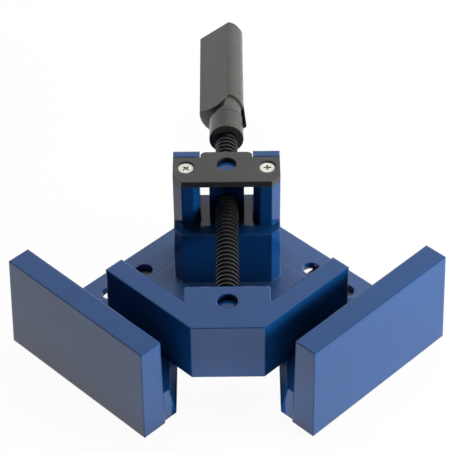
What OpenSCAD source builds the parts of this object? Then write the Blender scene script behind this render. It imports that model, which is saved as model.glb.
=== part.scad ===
// Corner clamp: a die-cast base with two fences at a right angle, and a floating
// jaw that one lead screw pushes along the diagonal towards the open corner.
// The origin is the work corner, where the two fence faces would meet, on the
// resting plane. +X runs along the right fence and +Y along the left fence.

/* [Fences] */
// Height of the fences above the resting plane
fence_height = 46; // [42:0.5:56]
// Thickness of a fence at its top
fence_thickness = 10.6; // [9:0.2:14]
// Distance from the work corner to the front end of a fence, at its top
fence_start = 38.3; // [36:0.1:42]
// Length of a fence at its top
fence_length = 80.7; // [76:0.1:92]
// How much further out the outer face stands at its foot
fence_draft = 1.2; // [0.4:0.1:2]
// How much each end of a fence leans out at its foot
end_draft = 1; // [0.4:0.1:1.6]

/* [Base] */
// Height of the shelves that carry the work and the jaw
shelf_height = 16.6; // [14:0.2:19]
// Thickness of the rear flange
flange_thickness = 3.6; // [3:0.1:5]
// Rise of the floor round the tower above the flange
floor_step = 0.6; // [0.3:0.1:1.2]
// Width of the flange from the floor step to the rear edge
flange_width = 17.3; // [15:0.1:22]
// Wall of the hollow casting
casting_wall = 3.4; // [2.6:0.1:4.2]
// Width of the open corner between the shelves, at shelf level
notch_width = 48.8; // [46:0.2:50]
// How much nearer each notch wall stands at its foot
notch_draft = 2.6; // [1:0.1:3.4]
// Distance along the diagonal from the work corner to the front of the floor
floor_front = 62; // [58:0.5:70]
// Distance along the diagonal from the work corner to the cut rear corner
rear_cut = 150; // [144:0.5:158]
// Thickness of the ribs under the shelves
rib_thickness = 2.6; // [2:0.1:3.4]

/* [Bench slots] */
// Width of a bench slot
slot_width = 7.4; // [6.5:0.1:9]
// Length of a bench slot over its round ends
slot_length = 28.5; // [20:0.5:36]
// Distance from the rear edge to the middle line of a slot
slot_inset = 11; // [9:0.1:12]
// Distance from the neighbouring fence face to the middle of a slot
slot_middle = 45.75; // [42:0.25:50]

/* [Tower] */
// Width of the tower
tower_width = 46.6; // [43:0.2:52]
// Distance along the diagonal from the work corner to the front of the tower
tower_front = 107.5; // [104:0.5:112]
// Depth of the tower from front to rear
tower_depth = 27.4; // [27:0.2:32]
// Gap between the screw and the sill of the nut chamber
sill_gap = 1.5; // [1:0.1:2.4]
// Depth of the ledge in front of the cheeks
ledge_depth = 6.4; // [4:0.1:7]
// Width of a corner chamfer across the tower
chamfer_across = 3.8; // [2:0.1:5]
// Length of a corner chamfer along the tower
chamfer_along = 4.2; // [2:0.1:5]
// Width of the nut chamber between the cheeks
chamber_width = 23.2; // [21:0.2:25]
// Height of the nut chamber
chamber_height = 21.9; // [20:0.1:25]
// Chamfer on the inner edges of the cheeks
cheek_chamfer = 2.8; // [1:0.1:3.6]
// Depth of the rear pillars behind the retainer plate
pillar_depth = 3.8; // [3:0.1:5]

/* [Retainer plate] */
// Thickness of the retainer plate
plate_thickness = 3; // [2.4:0.1:4]
// Distance between the two retainer screws
screw_spacing = 35.4; // [33:0.2:37]
// Distance from the front of the plate to the retainer screws
screw_setback = 10.1; // [8:0.1:11.5]
// Diameter of a retainer screw
retainer_screw_d = 4; // [3:0.1:4.2]
// Length of a retainer screw below the plate
retainer_screw_length = 14; // [8:0.5:18]
// Diameter of a retainer screw's head
retainer_head_d = 6.9; // [6.4:0.1:7.8]
// Height of a retainer screw's conical head
retainer_head_height = 2; // [1.6:0.1:2.2]
// Depth of the heads below the top of the plate
head_recess = 0.5; // [0.2:0.1:0.6]
// Length of the plate's rear tab behind its ears
tab_depth = 3.6; // [2.6:0.1:4]
// Radius of the corners of the plate's rear tab
tab_radius = 2.4; // [1:0.1:2.6]

/* [Swivel nut] */
// Distance from the front of the cheeks to the swivel axis of the nut
nut_setback = 12.2; // [11:0.1:13]
// Width of the nut
nut_width = 15.2; // [14:0.2:17]
// Depth of the nut along the screw
nut_depth = 9; // [8:0.1:10]
// Diameter of the trunnion at the top of the nut
trunnion_d = 8.6; // [7:0.1:8.8]
// Diameter of the round foot that turns in the tower
foot_d = 13; // [11:0.2:14]
// Length of the round foot
foot_length = 7; // [4:0.1:9]
// Height of the upper trunnion inside the retainer plate
trunnion_rise = 0.9; // [0.5:0.1:1.4]

/* [Lead screw] */
// Outer diameter of the lead screw
screw_d = 10; // [9:0.1:10.4]
// Depth of the screw axis below the top of the jaw
screw_depth = 6.3; // [6:0.1:7.5]
// Length of the threaded part between the jaw and the handle
thread_length = 104; // [100:0.5:116]
// Gap between the end of the thread and the back of the jaw
shoulder_gap = 1; // [0.8:0.1:2]
// Diameter of the journal that enters the jaw
journal_d = 5.4; // [5:0.1:5.6]
// Diameter of the spigot that passes through the pivot pin
spigot_d = 3.6; // [3.2:0.1:4]
// Length of the spigot beyond its retaining ring
spigot_tip = 1; // [0.8:0.1:1.6]
// Length of the tang inside the handle
tang_length = 40; // [25:1:48]
// Diameter of the tang
tang_d = 8; // [7:0.1:9]
// Distance across the two flats of the tang
tang_flats = 4.4; // [3.8:0.1:4.8]

/* [Jaw] */
// Opening between a fence and the jaw, as drawn
jaw_opening = 15; // [14:0.1:18]
// Height of the jaw
jaw_height = 28; // [24:0.1:32]
// Thickness of the jaw's arms
arm_thickness = 9; // [8:0.1:10]
// Length of an arm from the corner of its outer faces
arm_length = 71.9; // [64:0.1:76]
// Distance along the diagonal from that corner to the flat nose
nose_depth = 15.05; // [12:0.05:16]
// Distance along the diagonal from that corner to the back of the boss
boss_reach = 39.85; // [38:0.05:43]
// Width of the boss
boss_width = 35.6; // [30:0.2:38]
// Radius of the boss's rear corners
boss_corner = 1.6; // [1:0.1:4]
// Distance from the back of the boss to the pivot axis
pivot_setback = 9; // [8:0.1:10]
// Wall of the hollow arms
arm_wall = 2.8; // [2.2:0.1:3.2]
// Thickness of the jaw's top over its hollows
jaw_top = 4; // [3:0.1:5]

/* [Pivot] */
// Diameter of the pivot pin
pivot_d = 8.6; // [7.6:0.1:9]
// Depth of the pin's top below the top of the jaw
pivot_recess = 2.7; // [2.2:0.1:3]
// Length of the pivot pin
pivot_length = 20; // [14:0.5:22]
// Distance from the axis of the pin to the flat that bears the washer
pivot_flat = 3.4; // [3:0.1:3.6]
// Thickness of a thrust washer
washer_thickness = 0.8; // [0.5:0.1:1]
// Diameter of a thrust washer
washer_d = 5.4; // [5:0.1:5.8]
// Thickness of the retaining ring
ring_thickness = 0.8; // [0.6:0.1:1]
// Outer diameter of the retaining ring
ring_d = 6.2; // [5.6:0.1:7]
// Depth of the retaining ring's groove
ring_groove = 0.4; // [0.3:0.05:0.6]

/* [Handle] */
// Diameter of the neck
neck_d = 15.6; // [14:0.2:18]
// Length of the round neck in front of the grip
neck_length = 12.7; // [10:0.1:15]
// How much the neck steps in behind its round part
neck_step = 0.2; // [0.1:0.05:0.4]
// How much smaller the radius gets from there to the inside of the grip
neck_taper = 0.5; // [0.3:0.1:1]
// Slope of the two cuts at the end of the round neck
neck_slope = 42; // [36:1:50]
// Distance from the screw axis to those cuts inside the grip
neck_flat = 4.1; // [3.8:0.1:5]
// How far those cuts are turned against the flats of the grip
neck_turn = 18; // [10:1:22]
// Length of the handle
handle_length = 80.6; // [70:0.1:100]
// Diameter of the grip's two round sides
grip_round_d = 16.2; // [15.8:0.1:18]
// Distance between the centres of the two round sides
grip_span = 5.3; // [4:0.1:8]
// Thickness of the grip between its two flats
grip_thickness = 11.4; // [10:0.1:13]
// Radius of the corners at the grip's far end
grip_end_radius = 0.8; // [0.6:0.1:3]
// Radius of the domed base of the grip
dome_radius = 16; // [15:0.5:20]
// Distance from the front of the neck to the dome
dome_start = 17; // [15:0.5:20]
// How far the middle of the dome lies below the middle of the grip
dome_drop = 4; // [2:0.1:5]
// Distance from the front of the neck to the lip under the grip
lip_start = 9.5; // [8:0.1:14]
// Diameter of that lip at its front
lip_d = 18.6; // [17:0.2:20]
// Thickness of that lip
lip_thickness = 2; // [1.4:0.1:3]
// How far the grip is turned about the screw axis, as drawn
grip_roll = 36; // [0:1:90]

/* [Fits] */
// Clearance round running pins and threads
running_fit = 0.08; // [0.04:0.01:0.1]
// Clearance between sliding faces
sliding_gap = 0.3; // [0.2:0.05:0.4]
// Clearance round fixed fasteners
fixed_fit = 0.05; // [0.03:0.01:0.1]
// Room round parts that swing
swing_gap = 1.2; // [1:0.1:1.4]

/* [Hidden] */

$fn = 64;
root2 = sqrt(2);
cut = 1;                                            // overrun of a cutting shape
paint_blue = "#27457f";
satin_black = "#4b4b49";
bright_steel = "#dcdcd2";
dark_steel = "#33322f";

// Heights, from the shelf up through the jaw to the screw
jaw_under = shelf_height + sliding_gap;
jaw_over = jaw_under + jaw_height;
screw_height = jaw_over - screw_depth;
ledge_height = screw_height - screw_d / 2 - sill_gap;

// Base, worked out from the driving sizes
fence_end = fence_start + fence_length;
rear_edge = fence_end + end_draft;
floor_height = flange_thickness + floor_step;
floor_edge = rear_edge - flange_width;
notch_top = notch_width / 2;
notch_foot = notch_top - notch_draft;

// Tower, measured along the diagonal
cheek_front = tower_front + ledge_depth;
tower_rear = tower_front + tower_depth;
plate_under = ledge_height + chamber_height;
plate_over = plate_under + plate_thickness;
pillar_front = tower_rear - pillar_depth;
nut_axis = cheek_front + nut_setback;
screw_line = cheek_front + screw_setback;
foot_seat = ledge_height - foot_length;

// Jaw, measured along the diagonal
jaw_corner = jaw_opening * root2;
jaw_nose = jaw_corner + nose_depth;
boss_back = jaw_corner + boss_reach;
pivot_axis = boss_back - pivot_setback;
arm_end = jaw_opening + arm_length;
pivot_over = jaw_over - pivot_recess;
pocket_rear = pivot_axis - pivot_d / 2 - running_fit - casting_wall / 2;
pocket_half = ring_d / 2 + swing_gap;
pocket_depth = sliding_gap + washer_thickness + ring_thickness + spigot_tip + swing_gap;
pocket_over = screw_height + ring_d / 2 + sliding_gap;

// Screw and handle, measured along the diagonal
shoulder = boss_back + shoulder_gap;
neck_face = shoulder + thread_length;
handle_end = neck_face + handle_length;
journal_front = pivot_axis + pivot_flat + washer_thickness;
washer_front_back = pocket_rear - sliding_gap;
ring_back = washer_front_back - washer_thickness;
spigot_front = ring_back - ring_thickness - spigot_tip;

// Turns the +Y axis onto the diagonal that points away from the work corner
module on_diagonal() { rotate([0, 0, -45]) children(); }

// Draws a shape for the left side and mirrors it for the right
module both_sides() {
    children();
    mirror([1, -1, 0]) children();
}

// Extrudes an X, Z outline from one Y to another
module along_y(from, to) {
    translate([0, to, 0]) rotate([90, 0, 0]) linear_extrude(to - from) children();
}

// Extrudes a Y, Z outline from one X to another
module along_x(from, to) {
    translate([from, 0, 0]) rotate([90, 0, 90]) linear_extrude(to - from) children();
}

// Round bar along Y at the height of the screw
module screw_bar(from, to, diameter) {
    translate([0, to, screw_height]) rotate([90, 0, 0]) cylinder(h = to - from, d = diameter);
}

// Upright box that stands centred on X
module upright(width, from, to, low, high) {
    translate([-width / 2, from, low]) cube([width, to - from, high - low]);
}

// Outline of a shelf, drawn in from its edges by a wall
function shelf_outline(half_notch, wall) = let (
    notch_line = (half_notch + wall) * root2,
    front = max(fence_start + wall, notch_line + wall + cut),
    rear_line = fence_end - wall * root2
) [
    [wall, front],
    [front - notch_line, front],
    [(rear_line - notch_line) / 2, (rear_line + notch_line) / 2],
    [wall, rear_line - wall]
];

module fence() {
    foot = fence_thickness + fence_draft;
    intersection() {
        along_y(fence_start - end_draft, rear_edge)
            polygon([[0, 0], [0, fence_height], [-fence_thickness, fence_height], [-foot, 0]]);
        along_x(-foot, 0)
            polygon([[fence_start - end_draft, 0], [fence_start, fence_height],
                     [fence_end, fence_height], [rear_edge, 0]]);
    }
}

module fence_hollow() {
    translate([-fence_thickness + casting_wall, fence_start + casting_wall, -cut])
        cube([fence_thickness - 2 * casting_wall, fence_length - 2 * casting_wall,
              fence_height - 2 * casting_wall + cut]);
}

module shelf() {
    difference() {
        linear_extrude(shelf_height) polygon(shelf_outline(notch_foot, 0));
        on_diagonal() along_y(0, rear_edge)
            polygon([[-notch_foot, 0], [notch_foot, 0],
                     [notch_top, shelf_height], [notch_top, shelf_height + cut],
                     [-notch_top, shelf_height + cut], [-notch_top, shelf_height]]);
    }
}

module shelf_hollow() {
    rib_step = (rear_edge - fence_start) / 4;
    difference() {
        translate([0, 0, -cut])
            linear_extrude(shelf_height - casting_wall + cut)
                polygon(shelf_outline(notch_top, casting_wall));
        for (i = [2 : 3])
            translate([0, fence_start + i * rib_step - rib_thickness / 2, 0])
                cube([rear_edge, rib_thickness, shelf_height]);
    }
}

module floor_plate() {
    near = floor_front * root2;
    far = rear_cut * root2 - rear_edge;
    linear_extrude(flange_thickness)
        polygon([[0, near], [0, rear_edge], [far, rear_edge], [rear_edge, far], [rear_edge, 0], [near, 0]]);
    linear_extrude(floor_height)
        polygon([[0, near], [0, floor_edge], [floor_edge, floor_edge], [floor_edge, 0], [near, 0]]);
}

module bench_slot() {
    reach = (slot_length - slot_width) / 2;
    translate([slot_middle, rear_edge - slot_inset, -cut]) {
        for (side = [-1, 1]) translate([side * reach, 0, 0])
            cylinder(h = floor_height + 2 * cut, d = slot_width);
        translate([-reach, -slot_width / 2, 0])
            cube([2 * reach, slot_width, floor_height + 2 * cut]);
    }
}

// Plan of the tower with its front corners cut off
module tower_plan(front) {
    half = tower_width / 2;
    polygon([[-half, tower_rear], [-half, front + chamfer_along], [chamfer_across - half, front],
             [half - chamfer_across, front], [half, front + chamfer_along], [half, tower_rear]]);
}

// Plan of the room between the cheeks, wider at its chamfered front
module chamber_plan() {
    half = chamber_width / 2;
    mouth = half + cheek_chamfer + cut;
    polygon([[-mouth, cheek_front - cut], [mouth, cheek_front - cut],
             [half, cheek_front + cheek_chamfer], [half, tower_rear + cut],
             [-half, tower_rear + cut], [-half, cheek_front + cheek_chamfer]]);
}

module tower() {
    linear_extrude(ledge_height) tower_plan(tower_front);
    difference() {
        linear_extrude(plate_over) tower_plan(cheek_front);
        translate([0, 0, ledge_height]) linear_extrude(plate_over) chamber_plan();
        upright(tower_width + 2 * cut, tower_front, pillar_front, plate_under, plate_over + cut);
    }
}

module tower_hollows() {
    hollow_roof = foot_seat - casting_wall;
    upright(tower_width - 2 * casting_wall, tower_front + casting_wall,
            tower_rear - casting_wall, -cut, hollow_roof);
    translate([0, nut_axis, foot_seat])
        cylinder(h = foot_length + cut, d = foot_d + 2 * running_fit);
    for (side = [-1, 1])
        translate([side * screw_spacing / 2, screw_line, plate_under - retainer_screw_length - cut])
            cylinder(h = retainer_screw_length + 2 * cut, d = retainer_screw_d + 2 * fixed_fit);
}

module base_casting() {
    color(paint_blue) difference() {
        union() {
            floor_plate();
            both_sides() {
                shelf();
                fence();
            }
            on_diagonal() tower();
        }
        both_sides() {
            shelf_hollow();
            fence_hollow();
            bench_slot();
        }
        on_diagonal() tower_hollows();
    }
}

// Plan of the retainer plate: chamfered front, ears, and a tab between the pillars
module plate_plan() {
    half = tower_width / 2;
    ear_back = pillar_front - sliding_gap;
    tab_half = chamber_width / 2 - sliding_gap;
    polygon([[-half, ear_back], [-half, cheek_front + chamfer_along], [chamfer_across - half, cheek_front],
             [half - chamfer_across, cheek_front], [half, cheek_front + chamfer_along], [half, ear_back]]);
    translate([-tab_half, ear_back - cut])
        square([2 * tab_half, tab_depth - tab_radius + cut]);
    translate([tab_radius - tab_half, ear_back - cut])
        square([2 * (tab_half - tab_radius), tab_depth + cut]);
    for (side = [-1, 1])
        translate([side * (tab_half - tab_radius), ear_back + tab_depth - tab_radius])
            circle(r = tab_radius);
}

// Shank and conical head of a retainer screw, grown by a clearance
module retainer_screw_shape(clear) {
    head_over = plate_over - head_recess;
    translate([0, screw_line, 0]) {
        translate([0, 0, plate_under - retainer_screw_length])
            cylinder(h = head_over - plate_under + retainer_screw_length - clear,
                     d = retainer_screw_d + 2 * clear);
        translate([0, 0, head_over - retainer_head_height])
            cylinder(h = retainer_head_height, d1 = retainer_screw_d + 2 * clear,
                     d2 = retainer_head_d + 2 * clear);
    }
}

module retainer_plate() {
    color(satin_black) on_diagonal() difference() {
        translate([0, 0, plate_under]) linear_extrude(plate_thickness) plate_plan();
        translate([0, nut_axis, plate_under - cut])
            cylinder(h = plate_thickness + 2 * cut, d = trunnion_d + 2 * running_fit);
        for (side = [-1, 1]) translate([side * screw_spacing / 2, 0, 0]) {
            retainer_screw_shape(fixed_fit);
            translate([0, screw_line, plate_over - head_recess])
                cylinder(h = head_recess + cut, d = retainer_head_d + swing_gap);
        }
    }
}

module retainer_screw(side) {
    color(bright_steel) on_diagonal() translate([side * screw_spacing / 2, 0, 0])
        retainer_screw_shape(0);
}

module retainer_screw_left() { retainer_screw(-1); }
module retainer_screw_right() { retainer_screw(1); }

module swivel_nut() {
    seat = ledge_height + sliding_gap;
    top = plate_under - sliding_gap;
    color(paint_blue) on_diagonal() difference() {
        union() {
            upright(nut_width, nut_axis - nut_depth / 2, nut_axis + nut_depth / 2, seat, top);
            translate([0, nut_axis, foot_seat + sliding_gap])
                cylinder(h = foot_length + cut / 2, d = foot_d);
            translate([0, nut_axis, top - cut])
                cylinder(h = plate_under + trunnion_rise - top + cut, d = trunnion_d);
        }
        screw_bar(nut_axis - nut_depth, nut_axis + nut_depth, screw_d + 2 * running_fit);
    }
}

// Flattened tang of the screw, in line with the grip, grown by a clearance
module tang(clear) {
    run = tang_length + clear + cut;
    thick = tang_flats + 2 * clear;
    translate([0, neck_face - cut, screw_height]) rotate([0, -grip_roll, 0]) intersection() {
        rotate([-90, 0, 0]) cylinder(h = run, d = tang_d + 2 * clear);
        translate([-tang_d, -cut, -thick / 2]) cube([2 * tang_d, run + 2 * cut, thick]);
    }
}

module lead_screw() {
    color(dark_steel) on_diagonal() difference() {
        union() {
            screw_bar(shoulder, neck_face, screw_d);
            screw_bar(journal_front, shoulder + cut, journal_d);
            screw_bar(spigot_front, journal_front + cut, spigot_d);
            tang(0);
        }
        difference() {
            screw_bar(ring_back - ring_thickness - fixed_fit, ring_back + fixed_fit, spigot_d + cut);
            screw_bar(ring_back - ring_thickness - cut, ring_back + cut, spigot_d - 2 * ring_groove);
        }
    }
}

// Split spring ring that snaps into the groove near the end of the spigot
module retaining_ring() {
    bore = spigot_d - 2 * ring_groove + 2 * fixed_fit;
    color(bright_steel) on_diagonal() difference() {
        screw_bar(ring_back - ring_thickness, ring_back, ring_d);
        screw_bar(ring_back - ring_thickness - cut, ring_back + cut, bore);
        upright(bore, ring_back - ring_thickness - cut, ring_back + cut, 0, screw_height);
    }
}

module thrust_washer(back) {
    color(bright_steel) on_diagonal() difference() {
        screw_bar(back - washer_thickness, back, washer_d);
        screw_bar(back - washer_thickness - cut, back + cut, spigot_d + 2 * running_fit);
    }
}

module thrust_washer_rear() { thrust_washer(journal_front - fixed_fit); }
module thrust_washer_front() { thrust_washer(washer_front_back); }

// Round pin with a bore for the spigot and a flat for the rear washer, below a full round cap
module pivot_pin() {
    flat = pivot_axis + pivot_flat - fixed_fit;
    reach = washer_d / 2 + sliding_gap;
    color(paint_blue) on_diagonal() difference() {
        translate([0, pivot_axis, pivot_over - pivot_length]) cylinder(h = pivot_length, d = pivot_d);
        upright(pivot_d + cut, flat, flat + pivot_d, screw_height - reach, screw_height + reach);
        screw_bar(pivot_axis - pivot_d, pivot_axis + pivot_d, spigot_d + 2 * running_fit);
    }
}

// Right half of the jaw's outline, from its nose round to the back of its boss
function jaw_half() = let (
    end_line = arm_end * root2,
    arm_across = arm_thickness * root2,
    half = boss_width / 2
) [
    [nose_depth, jaw_nose],
    [(end_line - jaw_corner) / 2, (end_line + jaw_corner) / 2],
    [(end_line - jaw_corner - arm_across) / 2, (end_line + jaw_corner + arm_across) / 2],
    [half, jaw_corner + arm_across + half],
    [half, boss_back]
];

module jaw_plan() {
    right = jaw_half();
    left = [for (i = [len(right) - 1 : -1 : 0]) [-right[i][0], right[i][1]]];
    difference() {
        polygon(concat(right, left));
        for (side = [0, 1]) mirror([side, 0]) translate([boss_width / 2, boss_back]) difference() {
            translate([-boss_corner, -boss_corner]) square(boss_corner + cut);
            translate([-boss_corner, -boss_corner]) circle(r = boss_corner);
        }
    }
}

module arm_hollow() {
    start = jaw_opening + arm_thickness + boss_width / 2;
    translate([jaw_opening + arm_wall, start, jaw_under - cut])
        cube([arm_thickness - 2 * arm_wall, arm_end - arm_wall - start, jaw_height - jaw_top + cut]);
}

module jaw_casting() {
    color(paint_blue) difference() {
        on_diagonal() translate([0, 0, jaw_under]) linear_extrude(jaw_height) jaw_plan();
        both_sides() arm_hollow();
        on_diagonal() {
            translate([0, pivot_axis, jaw_under - cut])
                cylinder(h = jaw_height + 2 * cut, d = pivot_d + 2 * running_fit);
            screw_bar(pivot_axis, boss_back + cut, washer_d + swing_gap);
            screw_bar(pocket_rear - cut, pivot_axis, spigot_d + swing_gap);
            upright(2 * pocket_half, pocket_rear - pocket_depth, pocket_rear, jaw_under - cut, pocket_over);
        }
    }
}

// Section of the grip: two flats between two round sides, one of them about the screw axis
module grip_section() {
    intersection() {
        union() {
            for (x = [0, -grip_span]) translate([x, 0]) circle(d = grip_round_d);
            translate([-grip_span, -grip_round_d / 2]) square([grip_span, grip_round_d]);
        }
        translate([-grip_span - grip_round_d, -grip_thickness / 2])
            square([grip_span + 2 * grip_round_d, grip_thickness]);
    }
}

// Outline of the grip seen on its flat, with round corners at its far end
module grip_outline() {
    near = -grip_span - grip_round_d / 2;
    width = grip_span + grip_round_d;
    translate([near, neck_face]) square([width, handle_length - grip_end_radius]);
    translate([near + grip_end_radius, neck_face]) square([width - 2 * grip_end_radius, handle_length]);
    for (x = [near + grip_end_radius, near + width - grip_end_radius])
        translate([x, handle_end - grip_end_radius]) circle(r = grip_end_radius);
}

// Room of the grip behind its domed base
module grip_dome() {
    middle = neck_face + dome_start + dome_radius;
    translate([-grip_span / 2, middle, -dome_drop]) sphere(r = dome_radius);
    translate([-2 * grip_round_d, middle, -grip_round_d])
        cube([4 * grip_round_d, handle_length, 2 * grip_round_d]);
}

module grip_body() {
    intersection() {
        translate([0, handle_end, 0]) rotate([90, 0, 0]) linear_extrude(handle_length) grip_section();
        translate([0, 0, -grip_round_d]) linear_extrude(2 * grip_round_d) grip_outline();
        grip_dome();
    }
}

// Round neck, and behind it a tapered core with two cuts that clear the grip's flats
module neck() {
    bend = neck_face + neck_length;
    ending = neck_face + dome_start + dome_radius / 2;
    half = neck_d / 2;
    core = half - neck_step;
    low = bend + (half - neck_flat) / tan(neck_slope);
    translate([0, bend, 0]) rotate([90, 0, 0]) cylinder(h = neck_length, d = neck_d);
    intersection() {
        translate([0, bend - cut, 0]) rotate([-90, 0, 0])
            cylinder(h = ending - bend + cut, r1 = core, r2 = core - neck_taper);
        rotate([0, -neck_turn, 0]) along_x(-neck_d, neck_d)
            polygon([[bend - 2 * cut, -half], [bend, -half], [low, -neck_flat], [ending, -neck_flat],
                     [ending, neck_flat], [low, neck_flat], [bend, half], [bend - 2 * cut, half]]);
    }
}

// Lip along the lower flat, wider towards the neck
module grip_lip() {
    run = dome_start + dome_radius / 2 - lip_start;
    intersection() {
        translate([0, neck_face + lip_start, 0]) rotate([-90, 0, 0])
            cylinder(h = run, d1 = lip_d, d2 = grip_round_d);
        translate([0, neck_face, -grip_thickness / 2]) cube([lip_d, handle_length, lip_thickness]);
    }
}

module handle_grip() {
    color(satin_black) on_diagonal() difference() {
        translate([0, 0, screw_height]) rotate([0, -grip_roll, 0]) {
            grip_body();
            neck();
            grip_lip();
        }
        tang(fixed_fit);
    }
}

base_casting();
retainer_plate();
retainer_screw_left();
retainer_screw_right();
swivel_nut();
lead_screw();
handle_grip();
retaining_ring();
pivot_pin();
thrust_washer_rear();
thrust_washer_front();
jaw_casting();
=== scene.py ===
import bpy
import bmesh
import math
from mathutils import Matrix, Vector


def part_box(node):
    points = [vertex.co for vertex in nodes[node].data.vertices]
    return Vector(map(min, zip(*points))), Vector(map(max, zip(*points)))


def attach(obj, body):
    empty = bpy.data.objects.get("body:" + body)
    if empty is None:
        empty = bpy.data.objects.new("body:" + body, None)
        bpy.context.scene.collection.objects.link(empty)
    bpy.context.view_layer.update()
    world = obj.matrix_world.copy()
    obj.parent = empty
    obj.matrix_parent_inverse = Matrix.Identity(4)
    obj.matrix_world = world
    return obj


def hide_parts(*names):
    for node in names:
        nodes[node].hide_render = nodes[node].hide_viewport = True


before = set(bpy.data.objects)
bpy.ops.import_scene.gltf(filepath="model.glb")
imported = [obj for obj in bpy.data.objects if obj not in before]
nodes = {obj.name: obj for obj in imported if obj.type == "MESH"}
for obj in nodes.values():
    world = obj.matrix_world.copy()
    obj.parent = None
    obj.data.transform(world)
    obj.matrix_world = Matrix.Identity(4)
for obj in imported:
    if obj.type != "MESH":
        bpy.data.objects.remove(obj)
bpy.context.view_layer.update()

# Directions in the row frame: along the screw, across it to the right, and up
MM = 0.001
DIAG = Vector((1, 1, 0)).normalized()
ACROSS = Vector((1, -1, 0)).normalized()
UP = Vector((0, 0, 1))

# Places along the screw, from the work corner, as in the CAD model
SPIGOT_TIP = 43.10 * MM
GROOVE_FRONT = 44.03 * MM
GROOVE_REAR = 44.98 * MM
JOURNAL_FRONT = 56.30 * MM
SHOULDER = 62.06 * MM
CHEEK_FRONT = 113.9 * MM
RETAINER_LINE = 124.0 * MM
NECK_FACE = 166.06 * MM
NECK_LINE = NECK_FACE + 12.7 * MM
TANG_END = NECK_FACE + 38 * MM

# Heights and sizes that follow the CAD model
SCREW_Z = 38.6 * MM
LEDGE_Z = 32.1 * MM
SHELF_Z = 16.7 * MM
REAR_EDGE = 120.0 * MM
THREAD_R = 5.0 * MM
ROOT_R = 3.9 * MM
PITCH = 2.54 * MM
SPIGOT_R = 1.8 * MM
GROOVE_R = 1.4 * MM
JOURNAL_R = 2.7 * MM
TANG_R = 2.1 * MM
NECK_R = 8.2 * MM
RETAINER_ASIDE = 17.7 * MM
HEAD_R = 3.45 * MM
HEAD_DEPTH = 2.0 * MM
SHANK_R = 2.0 * MM


def diag(x, y, z):
    """Point in the row frame from across, along and up, in millimetres."""
    return ACROSS * (x * MM) + DIAG * (y * MM) + UP * (z * MM)


# Shader helpers
WHITE = (1.0, 1.0, 1.0, 1.0)
TONE_FROM = 0.3
TONE_TO = 0.7
ROUND_SAMPLES = 8
EDGE_SAMPLES = 4
EDGE_FULL = 0.80
EDGE_NONE = 0.985
# Samples for the painted shade in gaps and creases
SHADE_SAMPLES = 8
MIX_FACTOR = 0
MIX_A = 6
MIX_B = 7
MIX_RESULT = 2


def node_of_type(nt, kind):
    """The node of a type that a new node tree already has."""
    return next(n for n in nt.nodes if n.type == kind)


def material(name):
    """A new material with its node tree and its main shader."""
    mat = bpy.data.materials.new(name)
    mat.use_nodes = True
    nt = mat.node_tree
    return mat, nt, node_of_type(nt, "BSDF_PRINCIPLED")


def grey(tone):
    return (tone, tone, tone, 1.0)


def opaque(colour, gain=1.0):
    """A colour made brighter or darker, with full alpha."""
    return tuple(c * gain for c in colour) + (1.0,)


def connect(nt, socket, value):
    """Links a socket to the value where that is a socket too, and sets it otherwise."""
    if hasattr(value, "default_value"):
        nt.links.new(value, socket)
    else:
        socket.default_value = value


def maths(nt, operation, *values):
    """A math node on sockets or numbers."""
    node = nt.nodes.new("ShaderNodeMath")
    node.operation = operation
    for socket, value in zip(node.inputs, values):
        connect(nt, socket, value)
    return node.outputs[0]


def vector_maths(nt, operation, *values):
    """A vector math node on sockets or vectors; a dot product gives a number."""
    node = nt.nodes.new("ShaderNodeVectorMath")
    node.operation = operation
    for socket, value in zip(node.inputs, values):
        connect(nt, socket, value)
    return node.outputs["Value" if operation == "DOT_PRODUCT" else "Vector"]


def along(nt, vector, axis):
    """How far a vector reaches along an axis."""
    return vector_maths(nt, "DOT_PRODUCT", vector, axis)


def coordinate(nt, kind):
    """A texture coordinate. Object is the piece's own place, in the row frame at rest."""
    return nt.nodes.new("ShaderNodeTexCoord").outputs[kind]


def fade(nt, value, low, high, at_low, at_high):
    """Smooth step of a value between two levels."""
    node = nt.nodes.new("ShaderNodeMapRange")
    node.interpolation_type = "SMOOTHSTEP"
    node.inputs["From Min"].default_value = low
    node.inputs["From Max"].default_value = high
    node.inputs["To Min"].default_value = at_low
    node.inputs["To Max"].default_value = at_high
    nt.links.new(value, node.inputs["Value"])
    return node.outputs["Result"]


def mix_rgb(nt, factor, a, b):
    """A mix of two colours."""
    node = nt.nodes.new("ShaderNodeMix")
    node.data_type = "RGBA"
    connect(nt, node.inputs[MIX_FACTOR], factor)
    connect(nt, node.inputs[MIX_A], a)
    connect(nt, node.inputs[MIX_B], b)
    return node.outputs[MIX_RESULT]


def mix_shader(nt, factor, a, b):
    """A mix of two shaders."""
    node = nt.nodes.new("ShaderNodeMixShader")
    for socket, value in zip(node.inputs, (factor, a, b)):
        nt.links.new(value, socket)
    return node.outputs["Shader"]


def noise(nt, scale, detail):
    """Noise in the piece's own coordinates."""
    node = nt.nodes.new("ShaderNodeTexNoise")
    node.inputs["Scale"].default_value = scale
    node.inputs["Detail"].default_value = detail
    nt.links.new(coordinate(nt, "Object"), node.inputs["Vector"])
    return node.outputs["Fac"]


def ramp(nt, source, first, second):
    """Colour ramp between two stops of position and colour."""
    node = nt.nodes.new("ShaderNodeValToRGB")
    for element, stop in zip(node.color_ramp.elements, (first, second)):
        element.position, element.color = stop
    nt.links.new(source, node.inputs["Fac"])
    return node.outputs["Color"]


def bump(nt, height, strength, distance, normal):
    """A normal with one more layer of relief."""
    node = nt.nodes.new("ShaderNodeBump")
    node.inputs["Strength"].default_value = strength
    node.inputs["Distance"].default_value = distance
    nt.links.new(height, node.inputs["Height"])
    nt.links.new(normal, node.inputs["Normal"])
    return node.outputs["Normal"]


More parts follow.
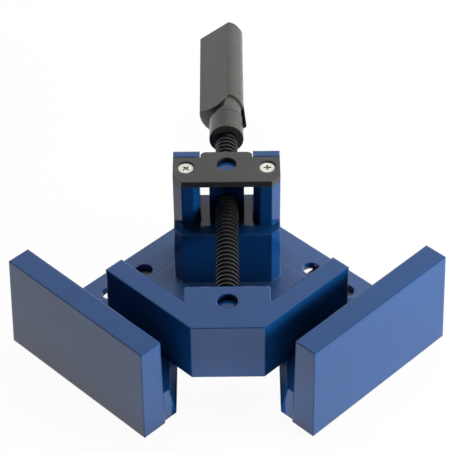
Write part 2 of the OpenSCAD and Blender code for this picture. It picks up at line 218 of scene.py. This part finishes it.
def rounded(nt, radius, samples=ROUND_SAMPLES):
    """Normal that runs round the edges, as a casting's or a moulding's do."""
    node = nt.nodes.new("ShaderNodeBevel")
    node.samples = samples
    node.inputs["Radius"].default_value = radius
    return node.outputs["Normal"]


def edge_mask(nt, radius):
    """Bright along convex and concave edges, from a rounded normal against the true one."""
    true_normal = nt.nodes.new("ShaderNodeNewGeometry").outputs["Normal"]
    match = along(nt, rounded(nt, radius, EDGE_SAMPLES), true_normal)
    return ramp(nt, match, (EDGE_FULL, grey(1.0)), (EDGE_NONE, grey(0.0)))


def gap_shade(nt, reach, full, none):
    """Rises to 1 in narrow gaps and creases: the mask of painted shade there."""
    node = nt.nodes.new("ShaderNodeAmbientOcclusion")
    node.samples = SHADE_SAMPLES
    node.inputs["Distance"].default_value = reach
    return fade(nt, node.outputs["AO"], full, none, 1.0, 0.0)


# Blue enamel of the castings, the nut and the pin
BLUE_BASE = (0.0036, 0.0465, 0.165)
# Painted highlight: the paler blue along the edges
BLUE_EDGE_HIGHLIGHT = (0.0045, 0.052, 0.185)
BLUE_DUSTY = (0.0270, 0.0660, 0.172)
ENAMEL_IOR = 1.5
ENAMEL_DRIFT = 1.12
ENAMEL_ROUGH = (0.10, 0.17)
PATCH_FROM = 0.25
PATCH_TO = 0.75
ENAMEL_EDGE = 0.7 * MM
ENAMEL_ROUND = 1.0 * MM
PEEL_STRENGTH = 0.05
FINE_PEEL = 0.4 * MM
WIDE_PEEL = 1.0 * MM
LEDGE_SLOPE = 0.06
LEDGE_BAND = 0.5 * MM
DUST_Z = 4.5 * MM
DUST_ROUGH = 0.24
LEVEL = 0.7
# Painted shade in the gaps above the shelves: its reach, its fade and how dark it gets
SHADE_REACH = 26 * MM
SHADE_FULL = 0.22
SHADE_NONE = 0.62
SHADE_TONE = 0.25


def ledge_lean(nt, normal):
    """The ledge in front of the nut falls away a little to the front."""
    place = coordinate(nt, "Object")
    level = maths(nt, "COMPARE", along(nt, place, UP), LEDGE_Z, LEDGE_BAND)
    front = maths(nt, "LESS_THAN", along(nt, place, DIAG), CHEEK_FRONT)
    slope = vector_maths(nt, "MULTIPLY", maths(nt, "MULTIPLY", level, front), DIAG * -LEDGE_SLOPE)
    return vector_maths(nt, "NORMALIZE", vector_maths(nt, "ADD", normal, slope))


def low_faces(nt):
    """1 on the floor and the flange, where a film of dust lies."""
    low = maths(nt, "LESS_THAN", along(nt, coordinate(nt, "Object"), UP), DUST_Z)
    level = maths(nt, "GREATER_THAN", along(nt, coordinate(nt, "Normal"), UP), LEVEL)
    return maths(nt, "MULTIPLY", low, level)


def high_gap_shade(nt):
    """Painted shade in the gaps above the shelves; the open floor and notch are left without it."""
    high = maths(nt, "GREATER_THAN", along(nt, coordinate(nt, "Object"), UP), SHELF_Z)
    return maths(nt, "MULTIPLY", high, gap_shade(nt, SHADE_REACH, SHADE_FULL, SHADE_NONE))


def paint(name, base, light, dusty):
    """Glossy enamel: slight colour drift, orange peel, a painted highlight along the edges, dust, and
    painted shade in the gaps.
    """
    mat, nt, bsdf = material(name)
    dust = low_faces(nt)
    drift = noise(nt, scale=45, detail=3)
    colour = ramp(nt, drift, (TONE_FROM, opaque(base)), (TONE_TO, opaque(base, ENAMEL_DRIFT)))
    # Painted highlight along the edges
    colour = mix_rgb(nt, edge_mask(nt, ENAMEL_EDGE), colour, opaque(light))
    colour = mix_rgb(nt, dust, colour, opaque(dusty))
    # Painted shade: the base colour darkened in the gaps above the shelves
    colour = mix_rgb(nt, high_gap_shade(nt), colour, opaque(base, SHADE_TONE))
    nt.links.new(colour, bsdf.inputs["Base Color"])
    smooth, rough = (grey(tone) for tone in ENAMEL_ROUGH)
    patchy = ramp(nt, noise(nt, scale=160, detail=4), (PATCH_FROM, smooth), (PATCH_TO, rough))
    dull = maths(nt, "MULTIPLY", dust, DUST_ROUGH)
    nt.links.new(maths(nt, "ADD", patchy, dull), bsdf.inputs["Roughness"])
    bsdf.inputs["IOR"].default_value = ENAMEL_IOR
    normal = ledge_lean(nt, rounded(nt, ENAMEL_ROUND))
    normal = bump(nt, noise(nt, scale=420, detail=2), PEEL_STRENGTH, FINE_PEEL, normal)
    normal = bump(nt, noise(nt, scale=60, detail=2), PEEL_STRENGTH, WIDE_PEEL, normal)
    nt.links.new(normal, bsdf.inputs["Normal"])
    return mat


# Satin surfaces: the plate, the handle and the bare metals
SATIN_DRIFT = 1.25
SATIN_EDGE = 0.5 * MM
SATIN_ROUND = 0.2 * MM
SATIN_SHEEN = 0.5
GRAIN_DEPTH = 0.2 * MM
# Painted shade in the handle's creases and along its neck line
CREASE_REACH = 2.5 * MM
CREASE_FULL = 0.45
CREASE_NONE = 0.85
LINE_HALF = 0.3 * MM
# Painted highlight along the edges of the plate and the crests of the screw's thread
EDGE_HIGHLIGHT_GREY = (0.050, 0.050, 0.048)


def neck_line_shade(nt):
    """1 on the line round the handle's neck where it runs into the grip, where painted shade is laid."""
    place = coordinate(nt, "Object")
    line = maths(nt, "COMPARE", along(nt, place, DIAG), NECK_LINE, LINE_HALF)
    across = along(nt, place, ACROSS)
    above = maths(nt, "SUBTRACT", along(nt, place, UP), SCREW_Z)
    across_squared = maths(nt, "MULTIPLY", across, across)
    above_squared = maths(nt, "MULTIPLY", above, above)
    reach_squared = maths(nt, "ADD", across_squared, above_squared)
    return maths(nt, "MULTIPLY", line, maths(nt, "LESS_THAN", reach_squared, NECK_R * NECK_R))


def satin(name, base, rough, grain, metal=0.0, edge_light=None, edge_round=SATIN_ROUND, crease_shade_colour=None):
    """Satin plastic, plating or coated steel with fine grain, painted highlights along the edges and
    painted shade in creases.
    """
    mat, nt, bsdf = material(name)
    drift = noise(nt, scale=70, detail=4)
    colour = ramp(nt, drift, (TONE_FROM, opaque(base)), (TONE_TO, opaque(base, SATIN_DRIFT)))
    # Painted highlight along the edges
    if edge_light:
        colour = mix_rgb(nt, edge_mask(nt, SATIN_EDGE), colour, opaque(edge_light))
    # Painted shade in creases and on the neck line: darker colour and less sheen
    if crease_shade_colour:
        shade_in_creases = maths(nt, "MAXIMUM", gap_shade(nt, CREASE_REACH, CREASE_FULL, CREASE_NONE), neck_line_shade(nt))
        colour = mix_rgb(nt, shade_in_creases, colour, opaque(crease_shade_colour))
        shaded_sheen = maths(nt, "MULTIPLY", maths(nt, "SUBTRACT", 1.0, shade_in_creases), SATIN_SHEEN)
        nt.links.new(shaded_sheen, bsdf.inputs["Specular IOR Level"])
    nt.links.new(colour, bsdf.inputs["Base Color"])
    low, high = (grey(tone) for tone in rough)
    patchy = ramp(nt, noise(nt, scale=220, detail=4), (TONE_FROM, low), (TONE_TO, high))
    nt.links.new(patchy, bsdf.inputs["Roughness"])
    bsdf.inputs["Metallic"].default_value = metal
    fine = noise(nt, scale=1500, detail=2)
    nt.links.new(bump(nt, fine, grain, GRAIN_DEPTH, rounded(nt, edge_round)), bsdf.inputs["Normal"])
    return mat


BLUE = paint("blue_enamel", BLUE_BASE, BLUE_EDGE_HIGHLIGHT, BLUE_DUSTY)
PLATE = satin("black_coated_steel", base=(0.027, 0.027, 0.0262), rough=(0.27, 0.37), grain=0.12,
              edge_light=EDGE_HIGHLIGHT_GREY, edge_round=0.4 * MM)
HANDLE = satin("handle_moulding", base=(0.025, 0.0243, 0.0212), rough=(0.22, 0.31), grain=0.16,
               edge_round=0.6 * MM, crease_shade_colour=(0.002, 0.002, 0.002))
OXIDE = satin("black_oxide_steel", base=(0.004, 0.004, 0.004), rough=(0.26, 0.36), grain=0.12,
              edge_light=EDGE_HIGHLIGHT_GREY)
NICKEL = satin("nickel_plate", base=(0.66, 0.64, 0.56), rough=(0.38, 0.50), grain=0.05, metal=0.15)
ZINC = satin("zinc_plate", base=(0.62, 0.62, 0.60), rough=(0.25, 0.40), grain=0.10, metal=1.0)
# Painted shade: the screw heads' cross recess, darker than the plating
RECESS_SHADE = satin("screw_recess_shade", base=(0.26, 0.25, 0.22), rough=(0.4, 0.5), grain=0.05, metal=0.2)


# Pieces that keep their CAD shape: each with its material and the width of its rounded edges
DRESSED = [
    ("base_casting", BLUE, 0.9 * MM),
    ("jaw_casting", BLUE, 0.9 * MM),
    ("swivel_nut", BLUE, 0.5 * MM),
    ("pivot_pin", BLUE, 0.3 * MM),
    ("retainer_plate", PLATE, 0.4 * MM),
    ("handle_grip", HANDLE, 0.6 * MM),
    ("retaining_ring", ZINC, 0),
    ("thrust_washer_rear", ZINC, 0),
    ("thrust_washer_front", ZINC, 0),
]
WELD_GAP = 0.001 * MM
EDGE_SEGMENTS = 3
EDGE_ANGLE = math.radians(28)
FACE_WEIGHT = 100


def dress(node, mat, width):
    """Paints a CAD piece, welds it and rounds its edges with modifiers."""
    piece = nodes[node]
    piece.data.materials.clear()
    piece.data.materials.append(mat)
    weld = piece.modifiers.new("weld", "WELD")
    weld.merge_threshold = WELD_GAP
    if width:
        edges = piece.modifiers.new("round", "BEVEL")
        edges.width = width
        edges.segments = EDGE_SEGMENTS
        edges.limit_method = "ANGLE"
        edges.angle_limit = EDGE_ANGLE
        edges.use_clamp_overlap = True
        normals = piece.modifiers.new("face_weight", "WEIGHTED_NORMAL")
        normals.mode = "FACE_AREA"
        normals.weight = FACE_WEIGHT
    for polygon in piece.data.polygons:
        polygon.use_smooth = True


for dressed_node, dressed_mat, dressed_width in DRESSED:
    dress(dressed_node, dressed_mat, dressed_width)


# Meshes made here
SHARP_ANGLE = math.radians(30)


def mesh_object(name, verts, faces, mat, smooth=True):
    """A new object in the scene from points and faces."""
    mesh = bpy.data.meshes.new(name)
    mesh.from_pydata([tuple(v) for v in verts], [], faces)
    mesh.update()
    piece = bpy.data.objects.new(name, mesh)
    bpy.context.scene.collection.objects.link(piece)
    mesh.materials.append(mat)
    for polygon in mesh.polygons:
        polygon.use_smooth = smooth
    return piece


def outward_normals(mesh):
    """Turns all faces of a mesh outward."""
    work = bmesh.new()
    work.from_mesh(mesh)
    bmesh.ops.recalc_face_normals(work, faces=work.faces)
    work.to_mesh(mesh)
    work.free()


# Lead screw with a cut trapezoidal thread
SCREW_CENTRE = UP * SCREW_Z
THREAD_STEPS = 48
THREAD_PROFILE = [(0.00, ROOT_R), (0.14, ROOT_R), (0.38, THREAD_R), (0.58, THREAD_R), (0.82, ROOT_R)]
BAR_SIDES = 40
BAR_LAP = 0.5 * MM
CORE_R = ROOT_R - 0.02 * MM
SCREW_BARS = [
    (SHOULDER, NECK_FACE, CORE_R),
    (JOURNAL_FRONT, SHOULDER + BAR_LAP, JOURNAL_R),
    (GROOVE_REAR, JOURNAL_FRONT, SPIGOT_R),
    (GROOVE_FRONT, GROOVE_REAR, GROOVE_R),
    (SPIGOT_TIP, GROOVE_FRONT, SPIGOT_R),
    (NECK_FACE - BAR_LAP, TANG_END, TANG_R),
]


def add_thread(verts, faces):
    """Adds the thread's surface, a profile carried along a helix between shoulder and neck.

    The helix is left-handed. The joints of the record belong to a right-hand screw.
    """
    points = len(THREAD_PROFILE)
    rows = int((NECK_FACE - SHOULDER) / PITCH) * THREAD_STEPS
    for row in range(rows + 1):
        angle = 2 * math.pi * row / THREAD_STEPS
        radial = math.cos(angle) * UP - math.sin(angle) * ACROSS
        middle = SHOULDER + PITCH * row / THREAD_STEPS
        for share, radius in THREAD_PROFILE:
            place = min(max(middle + (share - 0.5) * PITCH, SHOULDER), NECK_FACE)
            verts.append(SCREW_CENTRE + DIAG * place + radial * radius)
    for row in range(rows):
        for k in range(points - 1):
            corner = row * points + k
            faces.append((corner, corner + 1, corner + points + 1, corner + points))
    # The last profile point of one turn meets the first point of the next
    for row in range(rows - THREAD_STEPS):
        last = row * points + points - 1
        first = (row + THREAD_STEPS) * points
        faces.append((last, first, first + points, last + points))


def add_bar(verts, faces, start, end, radius):
    """Adds a closed round bar on the screw's axis."""
    first = len(verts)
    second = first + BAR_SIDES
    for place in (start, end):
        for k in range(BAR_SIDES):
            angle = 2 * math.pi * k / BAR_SIDES
            radial = math.cos(angle) * UP + math.sin(angle) * ACROSS
            verts.append(SCREW_CENTRE + DIAG * place + radial * radius)
    for k in range(BAR_SIDES):
        after = (k + 1) % BAR_SIDES
        faces.append((first + k, first + after, second + after, second + k))
    faces.append(tuple(first + k for k in range(BAR_SIDES)))
    faces.append(tuple(second + k for k in reversed(range(BAR_SIDES))))


def lead_screw():
    verts = []
    faces = []
    add_thread(verts, faces)
    for start, end, radius in SCREW_BARS:
        add_bar(verts, faces, start, end, radius)
    o = mesh_object("lead_screw_thread", verts, faces, OXIDE)
    outward_normals(o.data)
    o.data.set_sharp_from_angle(angle=SHARP_ANGLE)
    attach(o, "spindle")
    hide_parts("lead_screw")


lead_screw()


# Retainer screws with a cross recess
RING_SIDES = 96
CENTRE_R = 0.2 * MM
TIP_CHAMFER = 0.3 * MM
TIP_HEIGHT = 0.4 * MM
HEAD_RIM = [(0.25 * MM, 0.22 * MM), (0.10 * MM, 0.15 * MM), (0, 0.40 * MM)]
CROSS_TOP = (0.46 * MM, 1.70 * MM)
CROSS_BOTTOM = (0.36 * MM, 1.15 * MM)
CROSS_DEPTH = 0.7 * MM
CROSS_CENTRE_DEPTH = 0.9 * MM
RECESS_BANDS = 2
PLAIN = 0
DARK = 1
TINY = 1e-6


def cross_radius(angle, half, reach):
    """Radius of a cross outline at an angle: four blades of that half width and reach."""
    quarter = math.pi / 2
    offset = abs((angle + quarter / 2) % quarter - quarter / 2)
    blade_end = reach / math.cos(offset)
    if math.sin(offset) < TINY:
        return blade_end
    blade_side = half / math.sin(offset)
    inner_corner = min(math.hypot(half, half), half / math.cos(offset))
    return max(min(blade_end, blade_side), inner_corner)


def round_ring(radius):
    """Radii of a circle's points."""
    return [radius] * RING_SIDES


def cross_ring(half, reach):
    """Radii of a cross outline's points."""
    return [cross_radius(2 * math.pi * k / RING_SIDES, half, reach) for k in range(RING_SIDES)]


def screw_rings(bottom, top):
    """Height and radii of each ring, from the tip over the head into the recess."""
    shank = [
        (bottom, round_ring(CENTRE_R)),
        (bottom, round_ring(SHANK_R - TIP_CHAMFER)),
        (bottom + TIP_HEIGHT, round_ring(SHANK_R)),
        (top - HEAD_DEPTH, round_ring(SHANK_R)),
    ]
    rim = [(top - depth, round_ring(HEAD_R - inset)) for depth, inset in HEAD_RIM]
    recess = [
        (top, cross_ring(*CROSS_TOP)),
        (top - CROSS_DEPTH, cross_ring(*CROSS_BOTTOM)),
        (top - CROSS_CENTRE_DEPTH, round_ring(CENTRE_R)),
    ]
    return shank + rim + recess


def retainer_screw(name, node, aside, turn):
    """A countersunk screw in place of a plain one, with its cross turned by an angle."""
    low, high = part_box(node)
    rings = screw_rings(low[2], high[2])
    centre = ACROSS * aside + DIAG * RETAINER_LINE
    verts = []
    for height, radii in rings:
        for k, radius in enumerate(radii):
            angle = 2 * math.pi * k / RING_SIDES + turn
            radial = math.cos(angle) * ACROSS + math.sin(angle) * DIAG
            verts.append(centre + UP * height + radial * radius)
    faces = []
    tones = []
    bands = len(rings) - 1
    for band in range(bands):
        first = band * RING_SIDES
        second = first + RING_SIDES
        for k in range(RING_SIDES):
            after = (k + 1) % RING_SIDES
            faces.append((first + k, first + after, second + after, second + k))
            tones.append(DARK if band >= bands - RECESS_BANDS else PLAIN)
    faces.append(tuple(reversed(range(RING_SIDES))))
    tones.append(PLAIN)
    faces.append(tuple(bands * RING_SIDES + k for k in range(RING_SIDES)))
    tones.append(DARK)
    o = mesh_object(name, verts, faces, NICKEL)
    # Painted shade: the cross recess faces take the darker recess material
    o.data.materials.append(RECESS_SHADE)
    for polygon, tone in zip(o.data.polygons, tones):
        polygon.material_index = tone
    o.data.set_sharp_from_angle(angle=SHARP_ANGLE)
    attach(o, "base")
    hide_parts(node)


retainer_screw("retainer_screw_cross_left", "retainer_screw_left", -RETAINER_ASIDE, math.radians(45))
retainer_screw("retainer_screw_cross_right", "retainer_screw_right", RETAINER_ASIDE, math.radians(4))


# Surroundings: white to the eye, nearly dark as a lamp, and a shaded room in reflections
FILL_STRENGTH = 0.012


def white_for_view(nt):
    """1 where the camera, a reflection or a transmission looks, 0 for the rest."""
    path = nt.nodes.new("ShaderNodeLightPath")
    seen = maths(nt, "MAXIMUM", path.outputs["Is Camera Ray"], path.outputs["Is Glossy Ray"])
    return maths(nt, "MAXIMUM", seen, path.outputs["Is Transmission Ray"])


def room_light(nt):
    """Brightness of the room: dark behind the camera, paler low down and to the right."""
    toward = coordinate(nt, "Generated")
    back = fade(nt, along(nt, toward, DIAG), low=-0.25, high=0.35, at_low=0.12, at_high=1.0)
    height = fade(nt, along(nt, toward, UP), low=0.55, high=0.78, at_low=1.22, at_high=0.82)
    side = fade(nt, along(nt, toward, ACROSS), low=-0.25, high=0.25, at_low=0.86, at_high=1.14)
    return maths(nt, "MULTIPLY", maths(nt, "MULTIPLY", back, height), side)


def background(nt, strength):
    """A white background shader of a strength."""
    node = nt.nodes.new("ShaderNodeBackground")
    node.inputs["Color"].default_value = WHITE
    connect(nt, node.inputs["Strength"], strength)
    return node.outputs["Background"]


def surroundings():
    world = bpy.data.worlds.new("studio")
    bpy.context.scene.world = world
    world.use_nodes = True
    nt = world.node_tree
    nt.nodes.remove(node_of_type(nt, "BACKGROUND"))
    seen = mix_shader(nt, white_for_view(nt), background(nt, FILL_STRENGTH), background(nt, 1.0))
    reflected = nt.nodes.new("ShaderNodeLightPath").outputs["Is Glossy Ray"]
    light = mix_shader(nt, reflected, seen, background(nt, room_light(nt)))
    nt.links.new(light, node_of_type(nt, "OUTPUT_WORLD").inputs["Surface"])


surroundings()


# Floor, and small dark sheets of painted shade that the slots and the notch walls see
FLOOR_TONE = 0.90
SHADED_TONE = 0.12
FLOOR_ROUGH = 0.9
WHITE_SHARE = 0.955
FLOOR_HALF = 3.0
FLOOR_Z = -0.20 * MM
UNDER_JAW_Z = -0.15 * MM
UNDER_SLOT_Z = -0.10 * MM
SLOT_NEAR = REAR_EDGE - 20 * MM
SLOT_FAR = REAR_EDGE - 1 * MM
LEFT_SLOT = (42 * MM, 66 * MM)
RIGHT_SLOT = (26 * MM, 58 * MM)
UNDER_JAW = [(43, 0), (119, 0), (100, 100), (0, 119), (0, 43)]


def matt(name, tone):
    """A matt grey material with its node tree and shader."""
    mat, nt, bsdf = material(name)
    bsdf.inputs["Base Color"].default_value = grey(tone)
    bsdf.inputs["Roughness"].default_value = FLOOR_ROUGH
    bsdf.inputs["Specular IOR Level"].default_value = 0.0
    return mat, nt, bsdf


def pale_floor():
    """To the camera the floor is mostly white of itself, with a light shadow left in it."""
    mat, nt, bsdf = matt("pale_floor", FLOOR_TONE)
    glow = nt.nodes.new("ShaderNodeEmission")
    glow.inputs["Color"].default_value = WHITE
    glow.inputs["Strength"].default_value = 1.0
    share = maths(nt, "MULTIPLY", white_for_view(nt), WHITE_SHARE)
    surface = mix_shader(nt, share, bsdf.outputs["BSDF"], glow.outputs["Emission"])
    nt.links.new(surface, node_of_type(nt, "OUTPUT_MATERIAL").inputs["Surface"])
    return mat


def floor_patch(name, corners, height, mat):
    """A flat piece of floor at a height."""
    verts = [(x, y, height) for x, y in corners]
    o = mesh_object(name, verts, [tuple(range(len(corners)))], mat, smooth=False)
    return o


def slot_patch(low, high):
    """Outline of the shaded floor below the left slot, between two places along it."""
    return [(low, SLOT_NEAR), (high, SLOT_NEAR), (high, SLOT_FAR), (low, SLOT_FAR)]


def mirrored(corners):
    """The same outline on the other side of the diagonal."""
    return [(y, x) for x, y in reversed(corners)]


def floor():
    half = FLOOR_HALF
    square = [(-half, -half), (half, -half), (half, half), (-half, half)]
    floor_patch("floor", square, FLOOR_Z, pale_floor())
    # Painted shade: dark sheets under the slots, and one under the jaw that only reflections see
    shaded = matt("shaded_floor", SHADED_TONE)[0]
    floor_patch("floor_below_slot_left", slot_patch(*LEFT_SLOT), UNDER_SLOT_Z, shaded)
    floor_patch("floor_below_slot_right", mirrored(slot_patch(*RIGHT_SLOT)), UNDER_SLOT_Z, shaded)
    outline = [(x * MM, y * MM) for x, y in UNDER_JAW]
    under_jaw = floor_patch("floor_below_jaw", outline, UNDER_JAW_Z, shaded)
    under_jaw.visible_camera = False
    under_jaw.visible_diffuse = False
    under_jaw.visible_shadow = False


floor()


# Lamps: three soft boxes, and two small ones low at the notch for the light that a white floor throws up
TARGET = diag(0, 90, 20)


def soft_box(name, at, to, size, watts):
    """A rectangular lamp that lights the part but shows neither itself nor its reflection."""
    lamp = bpy.data.lights.new(name, "AREA")
    lamp.shape = "RECTANGLE"
    lamp.size, lamp.size_y = size
    lamp.energy = watts
    o = bpy.data.objects.new(name, lamp)
    bpy.context.scene.collection.objects.link(o)
    o.location = at
    o.rotation_euler = (Vector(to) - Vector(at)).to_track_quat("-Z", "Y").to_euler()
    o.visible_camera = False
    o.visible_glossy = False


soft_box("overhead", at=diag(0, 480, 890), to=TARGET, size=(1.0, 0.5), watts=8.5)
soft_box("right", at=(0.42, -0.42, 0.17), to=TARGET, size=(0.35, 0.22), watts=6.6)
soft_box("notch_bounce", at=diag(0, -16, 0.5), to=diag(0, 0, 40), size=(0.05, 0.03), watts=0.026)
soft_box("notch_floor", at=diag(0, 26, 0.5), to=diag(0, 26, 30), size=(0.04, 0.03), watts=0.011)
soft_box("left", at=(-0.95, 0.25, 0.25), to=TARGET, size=(0.4, 0.3), watts=0.6)


# Camera, fitted to the photograph's lines
PHOTO_PX = 452
FOCAL_PX = 2000.0
SENSOR = 36.0
NEAREST = 0.01
FARTHEST = 20
CAMERA_AT = Vector((-384.2151, -387.1782, 608.5518)) * MM
YAW = math.pi / 4 + 0.0039
PITCH_DOWN = 0.7186
ROLL = -0.0125


def photo_camera():
    level = Vector((math.cos(YAW), math.sin(YAW), 0))
    forward = level * math.cos(PITCH_DOWN) - UP * math.sin(PITCH_DOWN)
    right = forward.cross(UP).normalized()
    above = right.cross(forward)
    rolled_right = math.cos(ROLL) * right + math.sin(ROLL) * above
    rolled_above = -math.sin(ROLL) * right + math.cos(ROLL) * above
    camera = bpy.data.cameras.new("camera")
    camera.sensor_fit = "HORIZONTAL"
    camera.sensor_width = SENSOR
    camera.lens = FOCAL_PX / PHOTO_PX * SENSOR
    camera.clip_start = NEAREST
    camera.clip_end = FARTHEST
    o = bpy.data.objects.new("camera", camera)
    bpy.context.scene.collection.objects.link(o)
    place = Matrix((rolled_right, rolled_above, -forward)).transposed().to_4x4()
    place.translation = CAMERA_AT
    o.matrix_world = place
    bpy.context.scene.camera = o


photo_camera()
bpy.context.scene.view_settings.view_transform = "Standard"
